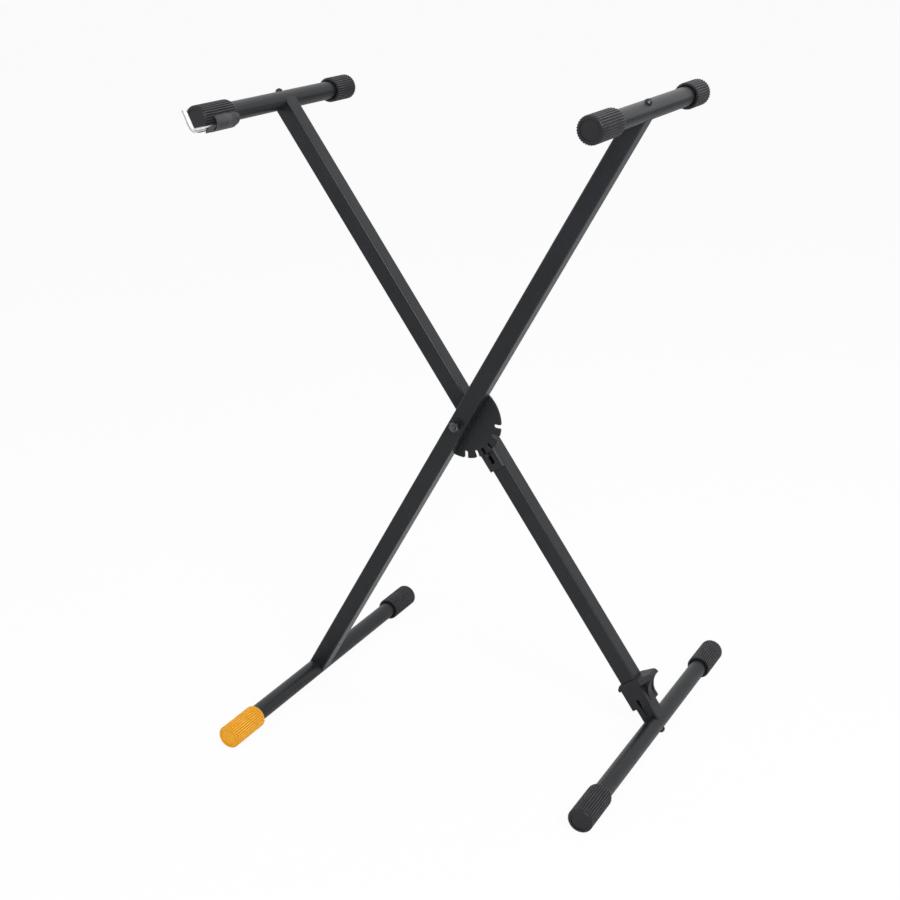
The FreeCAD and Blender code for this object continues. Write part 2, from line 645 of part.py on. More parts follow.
bore_cap(ribbed_cap("top_right_front_cap", on_bar("front", top_bar_length, True), top_front_cap_length,
                    cap_taper, cap_taper_drop), top_front_cap_length, mouth_gap / 2)
for label, leg in (("top_right_rear_cap", "front"), ("top_left_rear_cap", "rear")):
    bore_cap(ribbed_cap(label, on_bar(leg, top_bar_length, False), top_rear_cap_length,
                        rear_taper, rear_taper / 2), top_rear_cap_length, mouth_gap)
for label, side in (("foot_left_rear_cap", -1), ("foot_right_rear_cap", 1)):
    foot_cap = ribbed_cap(label, on_foot(side, False, foot_cap_floor), foot_cap_length,
                          rear_taper, rear_taper / 2)
    bore_cap(foot_cap, foot_cap_length, mouth_gap, foot_cap_floor)
    stand_on_flat(foot_cap, foot_cap_length, False)
foot_front_cap = ribbed_cap("foot_right_front_cap", on_foot(1, True, cap_floor), foot_front_cap_length,
                            cap_taper, cap_taper_drop)
bore_cap(foot_front_cap, foot_front_cap_length, mouth_gap / 2)
stand_on_flat(foot_front_cap, foot_front_cap_length, True)

# Levelling cap: its bore sits off the axis of its outside, so that turning it lifts or lowers the
# corner. As it stands, the offset points inwards along x and the cap neither lifts nor lowers.
levelling_place = place(levelling_offset - foot_reach, -(foot_bar_length / 2 + end_gap + foot_cap_floor),
                        stand_radius, ALONG["y"])
levelling_cap = ribbed_cap("levelling_cap", levelling_place, levelling_cap_length, rear_taper, rear_taper,
                           levelling_dia / 2)
drill(levelling_cap, "levelling_bore", bar_radius + running_gap, levelling_cap_length, -levelling_offset,
      0, foot_cap_floor)
ring_room = ring_height + 2 * end_gap
drill(levelling_cap, "ring_room", ring_dia / 2 + end_gap, ring_room, -levelling_offset, 0,
      foot_cap_floor + end_gap + ring_inset - ring_room / 2)
ring_solid = cylinder("ring_blank", ring_dia / 2, ring_height)
ring_hole = cylinder("ring_hole", ring_seat_dia / 2 + seat_gap, ring_height + 2, z=-1)
finish(cut("levelling_snap_ring", ring_solid, ring_hole), "levelling_snap_ring",
       LEG["front"] + " * " + place(0, BAR_SHIFT["front"] - ring_y - ring_height / 2, -half_leg,
                                    ALONG["y"]))


# ---- pivot ------------------------------------------------------------------------------------

# In the front leg's frame: y = 0 in the middle of the front leg, the rear leg at 2 x leg_offset
front_face = -half_side
rear_face = worked("rear_face", 2 * leg_offset + half_side, "rear leg's back from the front leg's middle")
nut_y = front_face - washer_height - nut_height - seat_gap
bolt_start = nut_y - bolt_end
head_y = rear_face + washer_height + 2 * seat_gap
pivot_shank = cylinder("pivot_shank", pivot_dia / 2, head_y - bolt_start, 0, bolt_start, 0, "y")
pivot_head = hexagon("pivot_head", pivot_hex, pivot_head_height, 0, head_y, 0, "y")
finish(fuse("pivot_bolt", pivot_shank, pivot_head), "pivot_bolt", LEG["front"])

nut_blank = hexagon("nut_blank", pivot_hex, nut_height, 0, nut_y, 0, "y")
nut_collar = cylinder("nut_collar", nut_collar_dia / 2, nut_height, 0, nut_y, 0, "y")
nut_thread = cylinder("nut_thread", pivot_dia / 2 + seat_gap, nut_height + 2, 0, nut_y - 1, 0, "y")
nut_face = cylinder("nut_face", pivot_hex / 2 + 1, nut_height / 4, 0, nut_y, 0, "y")
nut_body = cut("nut_body", nut_blank, nut_face)
finish(cut("pivot_nut", fuse("nut_joined", nut_body, nut_collar), nut_thread), "pivot_nut", LEG["front"])


def pivot_washer(label, outer, inner, height, y, leg="front"):
    ring = cylinder(label + "_ring", outer, height, 0, y, 0, "y")
    hole = cylinder(label + "_hole", inner, height + 2, 0, dim(y) - 1, 0, "y")
    finish(cut(label, ring, hole), label, LEG[leg])


pivot_washer("pivot_nut_washer", washer_dia / 2, pivot_dia / 2 + hole_gap, washer_height,
             front_face - washer_height)
pivot_washer("pivot_head_washer", washer_dia / 2, pivot_dia / 2 + hole_gap, washer_height,
             rear_face + seat_gap)
pivot_washer("pivot_spacer", spacer_dia / 2, pivot_dia / 2 + hole_gap,
             leg_gap - disc_height - 2 * seat_gap, half_side + disc_height + seat_gap)
pivot_washer("pivot_bush", bush_dia / 2, pivot_dia / 2 + running_gap, leg_side, -half_side, "rear")


# ---- notched disc -----------------------------------------------------------------------------

disc = new_body("notched_disc", LEG["front"] + " * " + place(0, half_side, 0))
disc_sketch = new_sketch(disc, "XZ_Plane")
circle(disc_sketch, 2 * disc_radius)
disc_pad = feature(disc, "Pad", "disc_pad", Length=disc_height)
disc_pad.Profile = disc_sketch
disc_pad.Reversed = True
through_disc = disc_height + 2
mill(disc, "disc_straight_edge", disc_radius, through_disc, 2 * disc_radius + 2,
     -disc_back - disc_radius / 2, disc_height / 2, -disc_radius - 1)
drill(disc, "disc_pivot_hole", pivot_dia / 2 + hole_gap, through_disc, 0, -1, 0, "y")
for side, z in (("upper", rivet_spread), ("lower", -rivet_spread)):
    drill(disc, side + "_rivet_hole", rivet_dia / 2 + seat_gap, through_disc, 0, -1, z, "y")
notch_end = disc_radius - notch_depth + notch_width / 2
settings = {"stored": closed_angle, "high": high_angle, "upper": upper_angle, "middle": open_angle,
            "lower": lower_angle, "low": low_angle, "widest": widest_angle}
for name, angle in settings.items():
    mill(disc, name + "_notch", notch_width, through_disc, notch_depth + 2, 0, disc_height / 2,
         -disc_radius - 2 - notch_width / 2, [("y", -angle)])
    drill(disc, name + "_notch_end", notch_width / 2, through_disc, notch_end * sine(angle), -1,
          -notch_end * cosine(angle), "y")
doc.recompute()


def is_tooth_corner(edge):
    """True for a straight edge along y between the rim and a notch, and not for the rim's seam."""
    ends = [vertex.Point for vertex in edge.Vertexes]
    upright = len(ends) == 2 and math.hypot(ends[0].x - ends[1].x, ends[0].z - ends[1].z) < 0.001
    on_rim = all(abs(math.hypot(end.x, end.z) - disc_radius.value) < 0.001 for end in ends)
    return upright and on_rim and ends[0].x > 0 and abs(ends[0].z) > 0.001


cut_disc = disc.Tip
corners = ["Edge%d" % (number + 1) for number, edge in enumerate(cut_disc.Shape.Edges)
           if is_tooth_corner(edge)]
teeth = feature(disc, "Fillet", "teeth", Radius=tooth_round)
teeth.Base = (cut_disc, corners)
disc.Tip = teeth


def rivet(name, diameter, head_dia, head_height, grip, x, y, z, back=True):
    """Round rivet along y with a head on the near side and, unless back is False, a set tail."""
    parts = [cylinder(name + "_shank", diameter / 2, grip, x, y, z, "y"),
             cylinder(name + "_head", head_dia / 2, head_height, x, dim(y) - head_height, z, "y")]
    if back:
        parts.append(cylinder(name + "_tail", head_dia / 2, head_height, x, dim(y) + grip, z, "y"))
    return fuse(name, *parts)


disc_grip = leg_wall + disc_height + 2 * seat_gap
finish(group("disc_rivets", *[
    rivet(side + "_disc_rivet", rivet_dia, rivet_head_dia, rivet_head_height, disc_grip, 0,
          half_side - leg_wall - seat_gap, z)
    for side, z in (("upper", rivet_spread), ("lower", -rivet_spread))]), "disc_rivets", LEG["front"])


# ---- latch ------------------------------------------------------------------------------------

housing = new_body("latch_housing", LEG["rear"] + " * " + place(0, -half_side, 0))
housing_sketch = new_sketch(housing, "XY_Plane")
outline(housing_sketch, [
    (-half_side, -seat_gap), (-half_side, housing_chamfer - housing_height),
    (housing_chamfer - half_side, -housing_height), (half_side - housing_chamfer, -housing_height),
    (half_side, housing_chamfer - housing_height), (half_side, -seat_gap)])
housing_sketch.AttachmentOffset = FreeCAD.Placement(V(0, 0, -1), FreeCAD.Rotation())
housing_sketch.setExpression("AttachmentOffset.Base.z", (-housing_bottom).text)
housing_pad = feature(housing, "Pad", "housing_pad", Length=housing_length)
housing_pad.Profile = housing_sketch
deep = housing_height + 2
mill(housing, "housing_slot", latch_slot, deep, slot_bottom, 0, -housing_height / 2,
     latch_slot / 2 - slot_bottom)
drill(housing, "housing_slot_end", latch_slot / 2, deep, 0, -housing_height - 1,
      latch_slot / 2 - slot_bottom, "y")
rivet_x = half_side - housing_rivet_inset
rivet_z = -housing_top - housing_rivet_inset
for side, x in (("inner", -1), ("outer", 1)):
    drill(housing, side + "_hole", housing_rivet_dia / 2 + seat_gap, deep, x * rivet_x,
          -housing_height - 1, rivet_z, "y")
finish(group("latch_housing_rivets", *[
    rivet(side + "_housing_rivet", housing_rivet_dia, housing_rivet_dia * 1.7, housing_rivet_dia / 4,
          housing_height + leg_wall + 2 * seat_gap, x * rivet_x,
          -half_side - housing_height - seat_gap, rivet_z, back=False)
    for side, x in (("inner", -1), ("outer", 1))]), "latch_housing_rivets", LEG["rear"])

tongue_reach = half_side + housing_height - end_gap
slider_top = latch_drawn + slider_overlap - slider_length
slider_block = block("slider_block", slider_side, slider_side, slider_length, 0, 0, -spring_top)
slider_tongue = block("slider_tongue", tongue_width, tongue_reach, tongue_length, 0, -tongue_reach / 2,
                      -latch_drawn - latch_pin_dia / 2)
slider_pin_hole = cylinder("slider_pin_hole", latch_pin_dia / 2 + seat_gap, tongue_reach + 1, 0,
                           -tongue_reach - 1, -latch_drawn, "y")
slider_rod_hole = cylinder("slider_rod_hole", rod_dia / 2 + seat_gap, rod_grip + seat_gap + 1, 0, 0,
                           -spring_top - 1)
finish(cut("latch_slider", fuse("slider_blank", slider_block, slider_tongue), slider_pin_hole,
           slider_rod_hole), "latch_slider", LEG["rear"])
pin_reach = half_side + leg_gap - pin_end_gap
finish(cylinder("latch_pin", latch_pin_dia / 2, pin_reach - seat_gap, 0, -pin_reach, -latch_drawn, "y"),
       "latch_pin", LEG["rear"] + " * " + place(0, -pin_reach, -latch_drawn, ALONG["y"]))

rod_low = rod_block_top + rod_grip
finish(cylinder("pull_rod", rod_dia / 2, 1), "pull_rod", LEG["rear"] + " * " + place(0, 0, -rod_low))
bind(pieces[-1], Height=rod_low - spring_top + rod_grip)

spring_seat_block = block("seat_block", plug_side, plug_side, seat_length, 0, 0, -seat_top - seat_length)
spring_seat_hole = cylinder("seat_hole", rod_dia / 2 + hole_gap, seat_length + 2, 0, 0,
                            -seat_top - seat_length - 1)
finish(cut("spring_seat", spring_seat_block, spring_seat_hole), "spring_seat", LEG["rear"])

spring = new_body("latch_spring", LEG["rear"] + " * " + place(0, 0, seat_gap + spring_wire / 2 - seat_top))
spring_sketch = new_sketch(spring, "XZ_Plane")
wire = spring_sketch.addGeometry(Part.Circle(V(spring_dia.value / 2, 0, 0), V(0, 0, 1), 1))
measure(spring_sketch, Sketcher.Constraint("Diameter", wire, spring_wire.value), spring_wire)
spring_sketch.addConstraint(Sketcher.Constraint("PointOnObject", wire, 3, -1))
measure(spring_sketch, Sketcher.Constraint("DistanceX", -1, 1, wire, 3, spring_dia.value / 2),
        spring_dia / 2)
coil = feature(spring, "AdditiveHelix", "coil", Pitch=spring_pitch, Height=spring_length - spring_wire)
coil.Profile = spring_sketch
coil.ReferenceAxis = (spring_sketch, ["V_Axis"])
coil.Mode = 0


# ---- trigger ----------------------------------------------------------------------------------

# Heights here are from the foot bar's axis, so the body stands at the foot of the rear leg
AT_FOOT = LEG["rear"] + " * " + place(0, 0, -half_leg)
trigger = new_body("trigger", AT_FOOT)
trigger_sketch = new_sketch(trigger, "XZ_Plane")
outline(trigger_sketch, [
    (-sleeve_half, trigger_bottom), (-sleeve_half, lip_bottom), (-sleeve_half - lip_out, lip_bottom),
    (-sleeve_half - lip_out, lip_shoulder), (lip_top_inset - sleeve_half, trigger_top),
    (half_side, trigger_top), (wing_top_out, wing_top), (wing_out, wing_tip), (sleeve_half, wing_root),
    (sleeve_half, trigger_bottom)],
    {6: wing_tip_round, 7: wing_hollow}, [7])
pad_both_ways(trigger, trigger_sketch, 2 * sleeve_half)
inside = 2 * (half_side + slide_gap)
mill(trigger, "sleeve_inside", inside, inside, trigger_top - trigger_bottom + 4, 0, 0, trigger_bottom - 2)
# Two pockets cut in through the hollow leave a rib in the wing's middle and one at each side
pocket_depth = wing_out - sleeve_half + grip_floor + 2
for side, y in (("front", -1), ("rear", 1)):
    mill(trigger, side + "_grip_pocket", pocket_depth, grip_width, grip_top - grip_bottom,
         sleeve_half - grip_floor + pocket_depth / 2, y * grip_spread, grip_bottom)
# The front of the wing is open below its top, and its front corner is slanted
cheek = sleeve_half - grip_spread - grip_width / 2
mill(trigger, "front_cheek", pocket_depth, 2 * cheek, grip_top - grip_bottom,
     sleeve_half + pocket_depth / 2, -sleeve_half, grip_bottom)
corner_sketch = new_sketch(trigger, "XY_Plane", "corner_sketch")
outline(corner_sketch, [
    (wing_corner_out, -sleeve_half), (wing_out, wing_corner_back - sleeve_half),
    (wing_out + 2, wing_corner_back - sleeve_half), (wing_out + 2, -sleeve_half - 2),
    (wing_corner_out, -sleeve_half - 2)])
corner_cut = feature(trigger, "Pocket", "wing_corner_cut", Length=wing_top + 5)
corner_cut.Profile = corner_sketch
corner_cut.Reversed = True
mill(trigger, "front_window", window_width, 2 * trigger_wall + 2, window_top - trigger_bottom + 2, 0,
     -sleeve_half, trigger_bottom - 2)
pin_front = pin_cover - sleeve_half
drill(trigger, "cross_hole", trigger_pin_dia / 2 + seat_gap, 2 * sleeve_half, 0, pin_front,
      trigger_pin_up, "y")

pin_length = 2 * sleeve_half - pin_cover - seat_gap - end_gap
finish(cylinder("trigger_pin", trigger_pin_dia / 2, pin_length), "trigger_pin",
       AT_FOOT + " * " + place(0, pin_front + seat_gap, trigger_pin_up, ALONG["y"]))

rod_block = block("rod_block", slider_side, slider_side, rod_block_length, 0, 0,
                  trigger_pin_up - rod_block_length / 2)
rod_block_cross = cylinder("rod_block_cross", trigger_pin_dia / 2 + seat_gap, leg_side, 0, -half_side,
                           trigger_pin_up, "y")
rod_block_hole = cylinder("rod_block_hole", rod_dia / 2 + seat_gap, rod_grip + 2, 0, 0,
                          trigger_pin_up + rod_block_length / 2 - rod_grip - seat_gap)
finish(cut("rod_end_block", rod_block, rod_block_cross, rod_block_hole), "rod_end_block", AT_FOOT)


# ---- stop pin and the cap that houses it ------------------------------------------------------

pin_cap = ribbed_cap("top_left_front_cap", on_bar("rear", top_bar_length, True), top_front_cap_length,
                     cap_taper, cap_taper_drop)
# The cap's own axes are the bar's: x across the leg, y down the leg, z towards the back
boss_x, boss_y = boss_out * cosine(boss_angle), -(boss_out * sine(boss_angle))
boss_length = top_front_cap_length - boss_start - boss_taper
drill(pin_cap, "boss", boss_dia / 2, boss_length, boss_x, boss_y, boss_start, "z", "AdditiveCylinder")
boss_end = feature(pin_cap, "AdditiveCone", "boss_end", Radius1=boss_dia / 2,
                   Radius2=boss_taper_dia / 2, Height=boss_taper)
boss_end.setExpression("Placement", place(boss_x, boss_y, boss_start + boss_length))
# Lip that runs forward under the pin: a segment of the housing's round, to the cap's face
lip_in = stop_out + stop_dia / 2 + lip_gap
lip_half = root(boss_dia / 2 * (boss_dia / 2) - (lip_in - boss_out) * (lip_in - boss_out))
lip_corners = [
    (lip_in * cosine(boss_angle) - side * lip_half * sine(boss_angle),
     -(lip_in * sine(boss_angle)) - side * lip_half * cosine(boss_angle)) for side in (-1, 1)]
lip_sketch = new_sketch(pin_cap, "XY_Plane", "lip_sketch")
outline(lip_sketch, lip_corners, {1: boss_dia / 2})
lip = feature(pin_cap, "Pad", "lip", Length=boss_start + 1)
lip.Profile = lip_sketch
bore_cap(pin_cap, top_front_cap_length, mouth_gap / 2)
stop_x, stop_y = stop_out * cosine(boss_angle), -(stop_out * sine(boss_angle))
drill(pin_cap, "stop_mouth_bore", stop_dia / 2 + running_gap, stop_mouth + 2, stop_x, stop_y,
      boss_start - 1)
drill(pin_cap, "stop_bore", stop_bush_dia / 2 + running_gap, boss_length - stop_mouth, stop_x,
      stop_y, boss_start + stop_mouth)
# The wire also has to pass the cap's ribbed front collar
drill(pin_cap, "stop_front_relief", stop_dia / 2 + hole_gap, boss_start + 1, stop_x, stop_y, -1)

# Stop pin: long leg along z from its bend, short leg along x
bend_y = (BAR_SHIFT["rear"] - top_bar_length / 2 - end_gap - cap_floor + boss_start - stop_exposed
          + stop_dia / 2)
AT_STOP = LEG["rear"] + " * " + place(stop_x, bend_y, half_leg - stop_y, ("y", -stop_turn), ALONG["y"])
long_leg = stop_exposed - stop_dia / 2 + stop_inside
straight = cylinder("stop_straight", stop_dia / 2, long_leg - stop_bend, 0, 0, stop_bend)
neck = cylinder("stop_neck", stop_neck_dia / 2, stop_bush_length + 2 * end_gap, 0, 0, long_leg)
neck_head = cylinder("stop_neck_head", stop_dia / 2, 1, 0, 0, long_leg + stop_bush_length + 2 * end_gap)
bend = doc.addObject("Part::Torus", "stop_bend_torus")
bind(bend, Radius1=stop_bend, Radius2=stop_dia / 2)
bend.Angle3 = 90
bend.setExpression("Placement", place(stop_bend, 0, stop_bend, ("x", 90), ("z", 180)))
short = cylinder("stop_short_leg", stop_dia / 2, stop_short - stop_bend, stop_bend, 0, 0, "x")
finish(fuse("stop_pin", straight, neck, neck_head, bend, short), "stop_pin", AT_STOP)

bush_ring = cylinder("stop_bush_ring", stop_bush_dia / 2, stop_bush_length)
bush_hole = cylinder("stop_bush_hole", stop_neck_dia / 2 + running_gap, stop_bush_length + 2, z=-1)
finish(cut("stop_pin_bush", bush_ring, bush_hole), "stop_pin_bush",
       AT_STOP + " * " + place(0, 0, long_leg + end_gap))


# ---- checks and files -------------------------------------------------------------------------

doc.recompute()
for thing in doc.Objects:
    if "Invalid" in thing.State or "Error" in thing.State:
        raise RuntimeError("%s is %s" % (thing.Label, thing.State))
os.makedirs("parts", exist_ok=True)
for piece in pieces:
    shape = piece.Shape
    if shape.isNull() or not shape.isValid():
        raise RuntimeError("%s has no valid shape" % piece.Label)
    shape.exportStep("parts/%s.step" % piece.Label)
    print("%-24s %d solid(s) %10.0f mm3" % (piece.Label, len(shape.Solids), shape.Volume))
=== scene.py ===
import bpy
import json
from math import radians
from mathutils import Euler, Matrix, Vector


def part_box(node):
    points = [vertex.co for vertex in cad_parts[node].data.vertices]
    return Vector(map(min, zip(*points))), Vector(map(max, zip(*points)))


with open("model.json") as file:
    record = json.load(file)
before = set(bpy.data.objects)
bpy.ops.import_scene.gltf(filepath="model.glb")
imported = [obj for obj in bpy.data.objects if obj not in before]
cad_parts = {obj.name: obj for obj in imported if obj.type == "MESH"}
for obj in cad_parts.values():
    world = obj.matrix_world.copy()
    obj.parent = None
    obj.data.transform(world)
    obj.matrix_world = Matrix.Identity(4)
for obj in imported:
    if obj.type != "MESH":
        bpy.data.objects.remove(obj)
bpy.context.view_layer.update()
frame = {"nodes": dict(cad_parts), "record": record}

# Folding keyboard stand in a plain white studio. Metres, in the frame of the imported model:
# X across the stand, Y from the front to the back, Z up.

MM = 0.001
WORLD_FILL = 0.25   # the white room's light on the stand; the camera sees it at full white
FLOOR_GLOW = 0.95   # share of the floor that shows plain white to the camera; the rest is shaded
FLOOR_PAINT = (0.85, 0.85, 0.85, 1)
FLOOR_SIZE = 60     # so that its edge lies beyond the picture
BEVEL_SAMPLES = 4
METAL_FROM = 0.5    # a surface more metallic than this keeps the shader's own specular level
STAND_MIDDLE = (0, 0, 0.45)

# The photograph's camera, fitted to the stand. Lens and sensor in mm, shift in picture widths
LENS = 60.75
SENSOR_WIDTH = 36
SHIFT = (-0.0586, 0.0124)
CAMERA_PLACE = (0.96216, -1.77068, 1.11487)
CAMERA_TILT = radians(70.0)    # up from looking straight down
CAMERA_TURN = radians(27.16)   # to the right of the front
CAMERA_ROLL = -0.041           # radians

# Wear, tint, and the painted shade and highlight on the caps' ribs, mm
SCUFF_SIZE = 9          # patches that break the rubbed edges up
CREST_RUB_SIZE = 14     # patches of rubbing on a cap's ribs
CAP_PATCH = 30.0        # tint of the caps
CREST_DEPTH = 0.3       # how far down a rib the painted highlight and rubbing go
GROOVE_FROM = 0.25      # the painted shade in a groove starts at this depth
GROOVE_TO = 1.0         # and is darkest from this depth on


# ---- materials --------------------------------------------------------------------------------

def linear(hex_colour):
    """sRGB hex to linear RGBA."""
    channels = [int(hex_colour[i:i + 2], 16) / 255 for i in (1, 3, 5)]
    return [c / 12.92 if c <= 0.04045 else ((c + 0.055) / 1.055) ** 2.4 for c in channels] + [1.0]


def add_node(tree, kind, inputs=None, **settings):
    """Adds a node. settings are its properties. inputs go by name or number, and each is a value
    or another node's output, which is linked."""
    node = tree.nodes.new(kind)
    for name, value in settings.items():
        setattr(node, name, value)
    for name, value in (inputs or {}).items():
        if isinstance(value, bpy.types.NodeSocket):
            tree.links.new(value, node.inputs[name])
        else:
            node.inputs[name].default_value = value
    return node


def new_shader(name, metallic, specular):
    """A new material, its node tree and its shader, on which what is the same all over is set."""
    material = bpy.data.materials.new(name)
    material.use_nodes = True
    shader = material.node_tree.nodes["Principled BSDF"]
    shader.inputs["Metallic"].default_value = metallic
    if metallic < METAL_FROM:
        shader.inputs["Specular IOR Level"].default_value = specular
    return material, material.node_tree, shader


def patchy_tint(tree, place, patch_mm, dark, colour):
    """Broad soft patches between two colours, as on any real finish."""
    patches = add_node(tree, "ShaderNodeTexNoise",
                       {"Vector": place, "Scale": 1 / (patch_mm * MM), "Detail": 4.0})
    share = add_node(tree, "ShaderNodeMapRange",
                     {"Value": patches.outputs["Fac"], "From Min": 0.35, "From Max": 0.65})
    tint = add_node(tree, "ShaderNodeMixRGB", {"Fac": share.outputs["Result"],
                                               "Color1": linear(dark), "Color2": linear(colour)})
    return tint.outputs["Color"]


def finish_shader(tree, shader, colour, place, grain_mm, grain_depth_mm, roughness, roughness_spread,
                  normal=None):
    """Links the colour, and a fine grain in the gloss and the bump. The noise runs from about 0.3
    to 0.7, and the roughness by half its spread to either side."""
    grain = add_node(tree, "ShaderNodeTexNoise",
                     {"Vector": place, "Scale": 1 / (grain_mm * MM), "Detail": 3.0}).outputs["Fac"]
    gloss = add_node(tree, "ShaderNodeMapRange",
                     {"Value": grain, "From Min": 0.3, "From Max": 0.7,
                      "To Min": roughness - roughness_spread / 2,
                      "To Max": roughness + roughness_spread / 2})
    bump = add_node(tree, "ShaderNodeBump",
                    {"Height": grain, "Distance": grain_depth_mm * MM, "Strength": 1.0})
    if normal:
        tree.links.new(normal, bump.inputs["Normal"])
    tree.links.new(colour, shader.inputs["Base Color"])
    tree.links.new(gloss.outputs["Result"], shader.inputs["Roughness"])
    tree.links.new(bump.outputs["Normal"], shader.inputs["Normal"])


def surface_material(name, colour, dark, rub_and_highlight, metallic=0.0, roughness=0.4, specular=0.3,
                     grain_mm=1.0, grain_depth_mm=0.03, edge_mm=0.4, rub_and_highlight_share=0.5, patch_mm=45.0,
                     roughness_spread=0.14):
    """Broad patches between two colours, edges rounded by edge_mm, and a little of the edge colour
    along those edges: rubbing, and on the pivot's nut and bolt a painted highlight as well. Grains
    finer than 0.8 mm are drawn coarser, so that they show."""
    material, tree, shader = new_shader(name, metallic, specular)
    place = add_node(tree, "ShaderNodeTexCoord").outputs["Object"]
    # An edge is where the rounded normal leaves the true one, so that their product falls below 1
    bevel = add_node(tree, "ShaderNodeBevel", {"Radius": edge_mm * MM}, samples=BEVEL_SAMPLES)
    rounded = bevel.outputs["Normal"]
    true_normal = add_node(tree, "ShaderNodeNewGeometry").outputs["Normal"]
    agreement = add_node(tree, "ShaderNodeVectorMath", {0: rounded, 1: true_normal},
                         operation="DOT_PRODUCT")
    edge = add_node(tree, "ShaderNodeMapRange",
                    {"Value": agreement.outputs["Value"], "From Min": 0.985, "From Max": 0.9,
                     "To Max": rub_and_highlight_share})
    scuffs = add_node(tree, "ShaderNodeTexNoise",
                      {"Vector": place, "Scale": 1 / (SCUFF_SIZE * MM), "Detail": 5.0})
    scuffed = add_node(tree, "ShaderNodeMapRange",
                       {"Value": scuffs.outputs["Fac"], "From Min": 0.42, "From Max": 0.68})
    # Along the edges this is rubbing, and on the pivot's nut and bolt a painted highlight as well
    rubbed = add_node(tree, "ShaderNodeMath",
                      {0: edge.outputs["Result"], 1: scuffed.outputs["Result"]},
                      operation="MULTIPLY")
    tint = patchy_tint(tree, place, patch_mm, dark, colour)
    surface = add_node(tree, "ShaderNodeMixRGB",
                       {"Fac": rubbed.outputs[0], "Color1": tint, "Color2": linear(rub_and_highlight)})
    finish_shader(tree, shader, surface.outputs["Color"], place, grain_mm, grain_depth_mm, roughness,
                  roughness_spread, rounded)
    return material


def ribbed_material(name, axis, radius, colour, dark, groove, crest, roughness=0.44, specular=0.3):
    """Moulded plastic of a ribbed cap that lies along y. Its grooves, down from radius, are darkened
    with painted shade, and the crests of its ribs lightened with a painted highlight, broken into
    patches of rubbing. axis is the cap's x and z."""
    material, tree, shader = new_shader(name, 0.0, specular)
    coordinates = add_node(tree, "ShaderNodeTexCoord").outputs
    place = coordinates["Object"]
    # Reach is the distance from the cap's axis
    across = add_node(tree, "ShaderNodeVectorMath", {0: place, 1: (axis[0], 0, axis[1])},
                      operation="SUBTRACT")
    flat = add_node(tree, "ShaderNodeVectorMath", {0: across.outputs["Vector"], 1: (1, 0, 1)},
                    operation="MULTIPLY")
    reach = add_node(tree, "ShaderNodeVectorMath", {0: flat.outputs["Vector"]},
                     operation="LENGTH").outputs["Value"]
    # The end faces, which look along y, keep the plain tint
    facing = add_node(tree, "ShaderNodeSeparateXYZ", {"Vector": coordinates["Normal"]})
    endways = add_node(tree, "ShaderNodeMath", {0: facing.outputs["Y"]}, operation="ABSOLUTE")
    side = add_node(tree, "ShaderNodeMapRange", {"Value": endways.outputs[0],
                                                 "From Min": 0.9, "From Max": 0.6}).outputs["Result"]
    # Painted shade: the sides of the ribs darken with depth down into the grooves
    sunk = add_node(tree, "ShaderNodeMapRange",
                    {"Value": reach, "From Min": radius - GROOVE_FROM * MM,
                     "From Max": radius - GROOVE_TO * MM})
    groove_shade_share = add_node(tree, "ShaderNodeMath", {0: sunk.outputs["Result"], 1: side},
                            operation="MULTIPLY")
    tint = patchy_tint(tree, place, CAP_PATCH, dark, colour)
    shaded_grooves = add_node(tree, "ShaderNodeMixRGB",
                      {"Fac": groove_shade_share.outputs[0], "Color1": tint, "Color2": linear(groove)})
    # Painted highlight: the tops of the ribs lighten, broken into patches of rubbing
    rubs = add_node(tree, "ShaderNodeTexNoise",
                    {"Vector": place, "Scale": 1 / (CREST_RUB_SIZE * MM), "Detail": 4.0})
    rubbed = add_node(tree, "ShaderNodeMapRange", {"Value": rubs.outputs["Fac"], "From Min": 0.35,
                                                   "From Max": 0.6, "To Min": 0.35})
    top = add_node(tree, "ShaderNodeMapRange",
                   {"Value": reach, "From Min": radius - CREST_DEPTH * MM, "From Max": radius})
    top_side = add_node(tree, "ShaderNodeMath", {0: top.outputs["Result"], 1: side},
                        operation="MULTIPLY")
    crest_highlight_and_rub = add_node(tree, "ShaderNodeMath",
                           {0: top_side.outputs[0], 1: rubbed.outputs["Result"]},
                           operation="MULTIPLY")
    ribs = add_node(tree, "ShaderNodeMixRGB",
                    {"Fac": crest_highlight_and_rub.outputs[0], "Color1": shaded_grooves.outputs["Color"],
                     "Color2": linear(crest)})
    finish_shader(tree, shader, ribs.outputs["Color"], place, grain_mm=1.0, grain_depth_mm=0.02,
                  roughness=roughness, roughness_spread=0.1)
    return material


# Powder coat, baked on steel: satin black with the faint orange peel of melted powder, rubbed a
# little at the corners. The real peel is about 0.6 mm across and is drawn at 1.6 mm, so it shows.
powder_coat = surface_material("black powder coat, baked", "#1c1f23", "#171a1d", "#4a4d52",
                               roughness=0.36, specular=0.28, grain_mm=1.6, grain_depth_mm=0.04,
                               edge_mm=0.5)
# Blackened steel, dipped: dull black oxide with the metal's own gloss under it
black_oxide = surface_material("blackened steel, dipped", "#3a3a3d", "#26262a", "#9a9a9c",
                               metallic=0.7, roughness=0.36, grain_depth_mm=0.01, edge_mm=0.3,
                               rub_and_highlight_share=0.8, patch_mm=12.0)
# Steel with a thin black zinc coat, plated and tightened with a spanner. Its light grey and its
# bright edges are painted highlight for the shine on the pivot's nut and bolt, broken by patches of
# rubbing
zinc_with_painted_highlight = surface_material("steel, black zinc plated, painted highlight and rubbing", "#6b6c70", "#3c3d41",
                               "#c4c4c6", metallic=0.9, roughness=0.3, grain_depth_mm=0.01,
                               edge_mm=0.5, rub_and_highlight_share=1.0, patch_mm=5.0)
